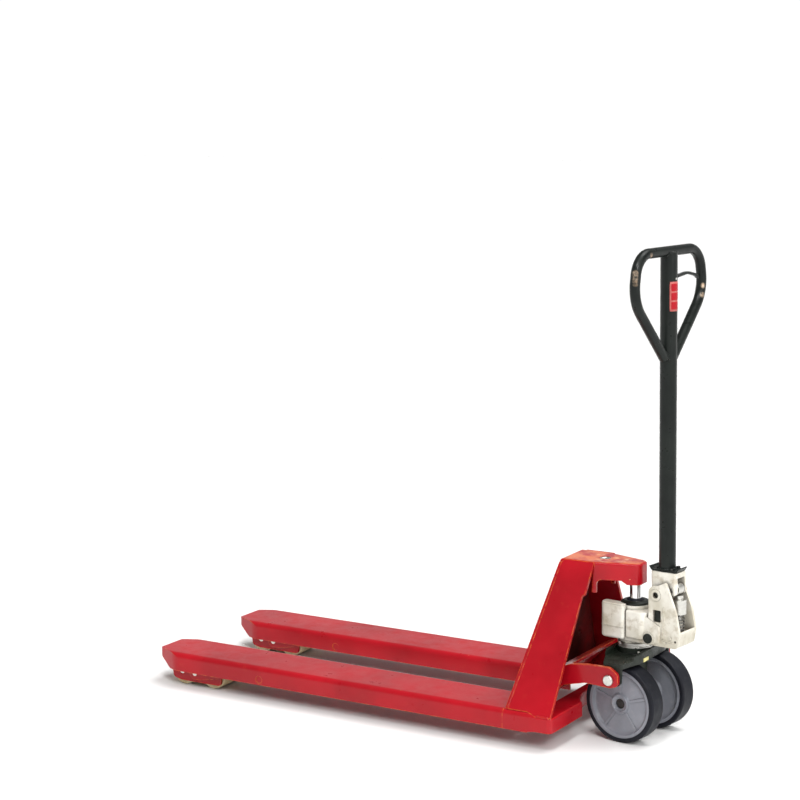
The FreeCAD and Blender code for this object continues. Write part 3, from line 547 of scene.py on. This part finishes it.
def return_spring():
    """The plunger's return coil."""
    low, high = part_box("plunger_spring")
    centre = (low + high) / 2
    radius = (high - low).x / 2 - SPRING_WIRE - 0.0001
    height = (high - low).z - 2 * SPRING_WIRE
    path = []
    for index in range(SPRING_STEPS_A_TURN * SPRING_TURNS + 1):
        turn = index / SPRING_STEPS_A_TURN
        # The first half turn lies a little flatter at its foot.
        climb = (turn - math.sin(math.tau * min(turn, 0.5)) * 0.02) / SPRING_TURNS
        angle = math.tau * turn
        foot = Vector((centre.x, centre.y, low.z + SPRING_WIRE + height * climb))
        path.append(foot + Vector((radius * math.cos(angle), radius * math.sin(angle), 0)))
    wire = swept("plunger_coil_spring", path, [SPRING_WIRE] * len(path), 8)
    coil = piece(wire, "pump_unit", "spring_steel")
    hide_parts("plunger_spring")
    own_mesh(coil)


def rod_wiper():
    """Rubber lip round the ram where it enters the cylinder cap."""
    cap_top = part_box("cylinder_cap")[1].z
    ram_low, ram_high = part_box("ram_rod")
    ram = (ram_high - ram_low).x / 2
    base = Vector((STEER.x, STEER.y, cap_top - 0.0012))
    profile = [(0, ram + 0.0078), (0.0022, ram + 0.0074), (0.0034, ram + 0.0058), (0.0046, ram + 0.0030),
               (0.0058, ram + 0.0012), (0.0060, ram + 0.0003), (0.0, ram + 0.0002)]
    piece(turned("ram_wiper_lip", profile, base, UP), "pump_unit", "tyre_rubber")


def housing_bolts():
    """Two small hex heads low on each cheek of the plunger housing."""
    for side, hand in SIDES:
        for index, (x, z) in enumerate(HOUSING_BOLTS):
            place = steered(x, side * (CHEEK_FACE - 0.0002), z)
            head = hexagon(f"housing_bolt_{hand}_{index}", place, ACROSS * side, 0.0075, 0.0028)
            piece(head, "pump_unit", "cream_paint", smooth=False)


def reservoir_parting_line():
    """The casting's raised seam round the back of the reservoir."""
    corners = [steered(x, y, RESERVOIR_SEAM_Z) for x, y in RESERVOIR_SEAM]
    piece(bead("reservoir_parting_line", corners, 0.0010, 8), "pump_unit", "cream_paint")


def window_shade_plates():
    """Dark plates at the bottom of the windows in the two cheeks, painted shade inside the windows."""
    x, y, z = WINDOW_SHADE_PLATE_PLACE
    for side, hand in SIDES:
        # Painted shade: a dark plate where the window's inside lies in shade.
        shade_plate = rounded_plate(f"window_shade_plate_{hand}", *WINDOW_SHADE_PLATE_SIZE, 0.0025)
        set_at(shade_plate, steered(x, side * y, z), AHEAD, ACROSS * side)
        piece(shade_plate, "pump_unit", "black_casting")


def cheek_ribs():
    """Raised casting ribs on the cheeks: one beside the front slope and a ledge along the foot."""
    for side, hand in SIDES:
        for kind, line in CHEEK_RIBS.items():
            corners = [steered(x, side * CHEEK_FACE, z) for x, z in line]
            piece(bead(f"cheek_rib_{kind}_{hand}", corners, 0.0017, 10), "pump_unit", "cream_paint")


return_spring()
rod_wiper()
housing_bolts()
reservoir_parting_line()
window_shade_plates()
cheek_ribs()


# ------------------------------------------------------------------ turntable

BRACKET_TOP = 0.217
NIPPLE_PLACE = (0.036, -0.060)
TAG_SIZE = (0.030, 0.0095, 0.0012)
TAG_PLACE = (0.0500, -0.046)
TAG_DROP = 0.0075


def grease_nipple():
    """A turned nipple with a neck and a ball end."""
    foot = fixed(*NIPPLE_PLACE, BRACKET_TOP)
    profile = [(-0.004, 0.0042), (0.001, 0.0042), (0.001, 0.0048), (0.005, 0.0048), (0.006, 0.0026),
               (0.009, 0.0022), (0.0105, 0.0032), (0.0125, 0.0032), (0.0135, 0.0018)]
    piece(turned("bracket_grease_nipple", profile, foot, UP, 16), "turntable", "bright_steel")


def tag_film():
    """Soiled yellow film."""
    p = Paint("yellow_tag", Coat_Weight=0.2)
    p.colour(p.blend(p.step(p.noise(90.0, 5.0), 0.42, 0.66), (0.80, 0.74, 0.30), (0.50, 0.42, 0.14)))
    p.rough(p.step(p.noise(60.0), 0.3, 0.7, 0.35, 0.6))
    p.bump((p.noise(300.0), 0.2, 0.0004))
    return p.material


def bracket_tag():
    """Small blank plate on the bracket's front edge."""
    plate = rounded_plate("bracket_tag", *TAG_SIZE, 0.0015)
    set_at(plate, fixed(*TAG_PLACE, BRACKET_TOP - TAG_DROP), Vector((0, 1, 0)), Vector((1, 0, 0)))
    piece(plate, "turntable", "black_casting", look=tag_film())


grease_nipple()
bracket_tag()


# ------------------------------------------------------------------ drawbar

LABEL_LOW, LABEL_HIGH = 1.097, 1.171
LABEL_HALF_ANGLE = math.radians(54)
LABEL_EDGE, LABEL_GAP = 0.0050, 0.0042


def on_tube(angle, z, lift):
    """A point at height z and lift above the tube's surface, angle round from the operator's side."""
    low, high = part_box("drawbar_tube")
    radius = (high - low).x / 2 + lift
    centre = (low + high) / 2
    arm = AHEAD * math.cos(angle) + ACROSS * math.sin(angle)
    return Vector((centre.x, centre.y, z)) + arm * radius


def curved_label(name, low, high, half_angle, lift, thick, look):
    """A thin patch wrapped on the tube, facing the operator, its corners drawn in a little."""
    columns, rows = 20, 10
    points = []
    for layer in (lift, lift + thick):
        for row in range(rows + 1):
            v = row / rows
            squeeze = 1.0 - 0.05 * (abs(2 * v - 1) ** 12)
            for column in range(columns + 1):
                angle = half_angle * squeeze * (2 * column / columns - 1)
                points.append(on_tube(angle, low + (high - low) * v, layer))
    wide = columns + 1
    size = wide * (rows + 1)
    faces = []
    for layer in (0, size):
        for row in range(rows):
            for column in range(columns):
                a = layer + row * wide + column
                faces.append((a, a + 1, a + wide + 1, a + wide))
    rim = list(range(columns))
    rim += [row * wide + columns for row in range(rows)]
    rim += [rows * wide + column for column in range(columns, 0, -1)]
    rim += [row * wide for row in range(rows, 0, -1)]
    for a, b in zip(rim, rim[1:] + rim[:1]):
        faces.append((a, b, b + size, a + size))
    piece(mesh_from(name, points, faces), "drawbar", "black_paint", look=look)


def printed(name, colour, worn):
    """Printed film, rubbed towards the worn colour."""
    p = Paint(name, Coat_Weight=0.05, Coat_Roughness=0.2, Specular_IOR_Level=0.2)
    rubbed = p.step(p.noise(130.0, 6.0, 0.7), 0.52, 0.70, 0.0, 0.5)
    p.colour(p.blend(rubbed, colour, worn))
    p.rough(p.step(p.noise(60.0), 0.3, 0.7, 0.30, 0.5))
    p.bump((p.noise(240.0), 0.1, 0.0003))
    return p.material


def label():
    """A plain three-block label without wording."""
    film = printed("label_film", (0.46, 0.10, 0.09), (0.60, 0.34, 0.28))
    block = printed("label_block", (0.38, 0.003, 0.011), (0.42, 0.020, 0.022))
    curved_label("tube_label_film", LABEL_LOW, LABEL_HIGH, LABEL_HALF_ANGLE, 0.0001, 0.0003, film)
    tall = (LABEL_HIGH - LABEL_LOW - 2 * LABEL_EDGE - 2 * LABEL_GAP) / 3
    for index in range(3):
        low = LABEL_LOW + LABEL_EDGE + index * (tall + LABEL_GAP)
        name = f"tube_label_block_{index}"
        curved_label(name, low, low + tall, LABEL_HALF_ANGLE * 0.80, 0.00045, 0.0002, block)


# Across the truck and up, where each leg of the loop leaves the tube and where it bends.
LOOP_LEG_START, LOOP_LEG_BEND = Vector((0.022, 0.980)), Vector((0.167, 1.134))
LOOP_ROD = 0.013


def loop_welds():
    """Beads where the loop's two legs run into the tube, and where the tube meets the top bar."""
    tube_low, tube_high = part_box("drawbar_tube")
    tube = (tube_high - tube_low).x / 2
    loop_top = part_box("handle_loop")[1].z
    along = ((tube_low + tube_high) / 2 - STEER).dot(AHEAD)
    leg = (LOOP_LEG_BEND - LOOP_LEG_START).normalized()
    inner = Vector((-leg.y, leg.x))
    for side, hand in SIDES:
        path = []
        for step in range(17):
            angle = math.radians(-100 + 200 * step / 16)
            out = LOOP_ROD * math.sin(angle)
            reach = inner * LOOP_ROD * math.cos(angle)
            run = (math.sqrt(tube * tube - out * out) - LOOP_LEG_START.x - reach.x) / leg.x
            spot = LOOP_LEG_START + leg * run + reach
            path.append(steered(along + out, side * (spot.x + 0.0004), spot.y))
        weld(f"loop_weld_{hand}", path, 0.0022, "drawbar", "black_paint")
    ring = tube - 0.0006
    path = []
    for step in range(25):
        angle = math.tau * step / 24
        rise = 0.0075 * math.cos(angle) ** 2 - 0.0210
        path.append(steered(along + ring * math.cos(angle), ring * math.sin(angle), loop_top + rise))
    weld("loop_weld_top", path, 0.0020, "drawbar", "black_paint")


def tube_foot_weld():
    """The bead round the tube where it stands on the saddle flange."""
    low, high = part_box("drawbar_tube")
    centre = (low + high) / 2
    foot = Vector((centre.x, centre.y, low.z + 0.0008))
    radius = (high - low).x / 2 + 0.0008
    path = []
    for step in range(49):
        angle = math.tau * step / 48
        path.append(foot + Vector((radius * math.cos(angle), radius * math.sin(angle), 0)))
    weld("tube_foot_weld", path, 0.0030, "drawbar", "black_paint")


label()
loop_welds()
tube_foot_weld()


# ------------------------------------------------------------------ lift frame

# Half the width between the legs' outer faces at the top, and the foot bead's place along the heel bar.
LEG_TOP_HALF = 0.062
FOOT_WELD_START, FOOT_WELD_LENGTH = 0.081, 0.038
PLUG_X = -0.086


def frame_welds():
    """Beads along each leg's foot on the heel bar and up its joint with the back plate."""
    leg_low, leg_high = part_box("leg_left")
    plate_low, plate_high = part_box("carriage_plate")
    plate_size = plate_high - plate_low
    for side, hand in SIDES:
        start = Vector((leg_low.x + FOOT_WELD_START, side * (leg_high.y + 0.0002), leg_low.z + 0.0008))
        foot = [start, start + Vector((FOOT_WELD_LENGTH, 0, 0))]
        weld(f"leg_foot_weld_{hand}", foot, 0.0034, "lift_frame")
        path = []
        for step in range(12):
            rise = 0.004 + (plate_size.z - 0.012) * step / 11
            share = rise / plate_size.z
            x = plate_low.x + 0.006 + (plate_size.x - 0.008) * share
            y = plate_high.y + (LEG_TOP_HALF - plate_high.y) * share
            path.append(Vector((x, side * (y - 0.0010), plate_low.z + rise)))
        weld(f"carriage_weld_{hand}", path, 0.0028, "lift_frame")


def head_plug():
    """Zinc plug with a dished middle in the hole of the head's top plate."""
    centre = fixed(PLUG_X, 0.0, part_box("head_nose")[1].z - 0.0032)
    profile = [(-0.0030, 0.0148), (0.0016, 0.0148), (0.0026, 0.0140), (0.0026, 0.0118), (0.0006, 0.0100),
               (-0.0006, 0.0060), (-0.0008, 0.0016)]
    piece(turned("head_hole_plug", profile, centre, UP, 48), "lift_frame", "bright_steel")


frame_welds()
head_plug()


# ------------------------------------------------------------------ stage, light and camera

FLOOR_HALF = 40


def floor():
    """A pale, matt floor under the truck."""
    corners = [(x * FLOOR_HALF, y * FLOOR_HALF, 0) for x, y in ((-1, -1), (1, -1), (1, 1), (-1, 1))]
    sheet = mesh_from("studio_floor", corners, [(0, 1, 2, 3)])
    p = Paint("studio_floor_paint")
    p.colour(p.blend(p.step(p.noise(1.4, 4.0), 0.3, 0.7), (0.83, 0.83, 0.82), (0.86, 0.86, 0.85)))
    p.rough(0.75)
    sheet.materials.append(p.material)
    ground = bpy.data.objects.new("studio_floor", sheet)
    bpy.context.scene.collection.objects.link(ground)


def sky():
    """A white sky, bright up to a little above the horizon and dimmer overhead."""
    world = bpy.data.worlds.new("studio")
    world.use_nodes = True
    tree = world.node_tree
    back = tree.nodes["Background"]
    back.inputs["Color"].default_value = (1.0, 1.0, 1.0, 1.0)
    direction = tree.nodes.new("ShaderNodeTexCoord").outputs["Generated"]
    split = tree.nodes.new("ShaderNodeSeparateXYZ")
    tree.links.new(direction, split.inputs[0])
    band = tree.nodes.new("ShaderNodeMapRange")
    band.interpolation_type = "SMOOTHSTEP"
    for socket, value in (("From Min", 0.12), ("From Max", 0.30), ("To Min", 1.05), ("To Max", 0.34)):
        band.inputs[socket].default_value = value
    tree.links.new(split.outputs["Z"], band.inputs["Value"])
    tree.links.new(band.outputs["Result"], back.inputs["Strength"])
    bpy.context.scene.world = world


def hang(light, place, aim):
    """Puts a light in the scene, turned by the quaternion aim."""
    lamp = bpy.data.objects.new(light.name, light)
    bpy.context.scene.collection.objects.link(lamp)
    lamp.location = place
    lamp.rotation_mode = "QUATERNION"
    lamp.rotation_quaternion = aim


def softbox(name, place, target, width, height, power, tint=(1.0, 1.0, 1.0)):
    light = bpy.data.lights.new(name, "AREA")
    light.shape = "RECTANGLE"
    light.size, light.size_y = width, height
    light.energy = power
    light.color = tint
    hang(light, place, (Vector(target) - Vector(place)).to_track_quat("-Z", "Y"))


def sun(name, from_direction, strength, spread):
    light = bpy.data.lights.new(name, "SUN")
    light.energy = strength
    light.angle = math.radians(spread)
    hang(light, (0, 0, 0), Vector(from_direction).to_track_quat("Z", "Y"))


# Angles in degrees, lens in millimetres.
CAMERA_FROM_STEER = Vector((2.1347, -4.6357, 1.6379))
CAMERA_HEADING, CAMERA_TILT, CAMERA_ROLL = 31.446, 5.798, -0.464
CAMERA_LENS, CAMERA_SHIFT = 90.93, -0.125


def camera():
    """The camera, turned to its heading, tipped down by its tilt and rolled about its own line of sight."""
    data = bpy.data.cameras.new("camera")
    data.sensor_width = 36.0
    data.lens = CAMERA_LENS
    data.shift_y = CAMERA_SHIFT
    lens = bpy.data.objects.new("camera", data)
    bpy.context.scene.collection.objects.link(lens)
    lens.location = STEER + CAMERA_FROM_STEER
    turn = Matrix.Rotation(math.radians(CAMERA_HEADING), 3, "Z")
    tilt = Matrix.Rotation(math.radians(90 - CAMERA_TILT), 3, "X")
    roll = Matrix.Rotation(math.radians(CAMERA_ROLL), 3, "Z")
    lens.rotation_mode = "QUATERNION"
    lens.rotation_quaternion = (turn @ tilt @ roll).to_quaternion()
    bpy.context.scene.camera = lens


floor()
sky()
sun("overhead", (0.30, 0.30, 1.0), 2.3, 40)
sun("key", (0.62, -0.60, 0.62), 1.3, 18)
softbox("high_front", (1.1, -2.4, 4.4), (0.5, 0.0, 0.4), 0.9, 0.9, 75)
softbox("side", (3.4, -0.6, 1.8), (0.6, 0.0, 0.4), 0.8, 1.6, 14, (0.97, 0.98, 1.0))
camera()
bpy.context.scene.view_settings.view_transform = "Standard"
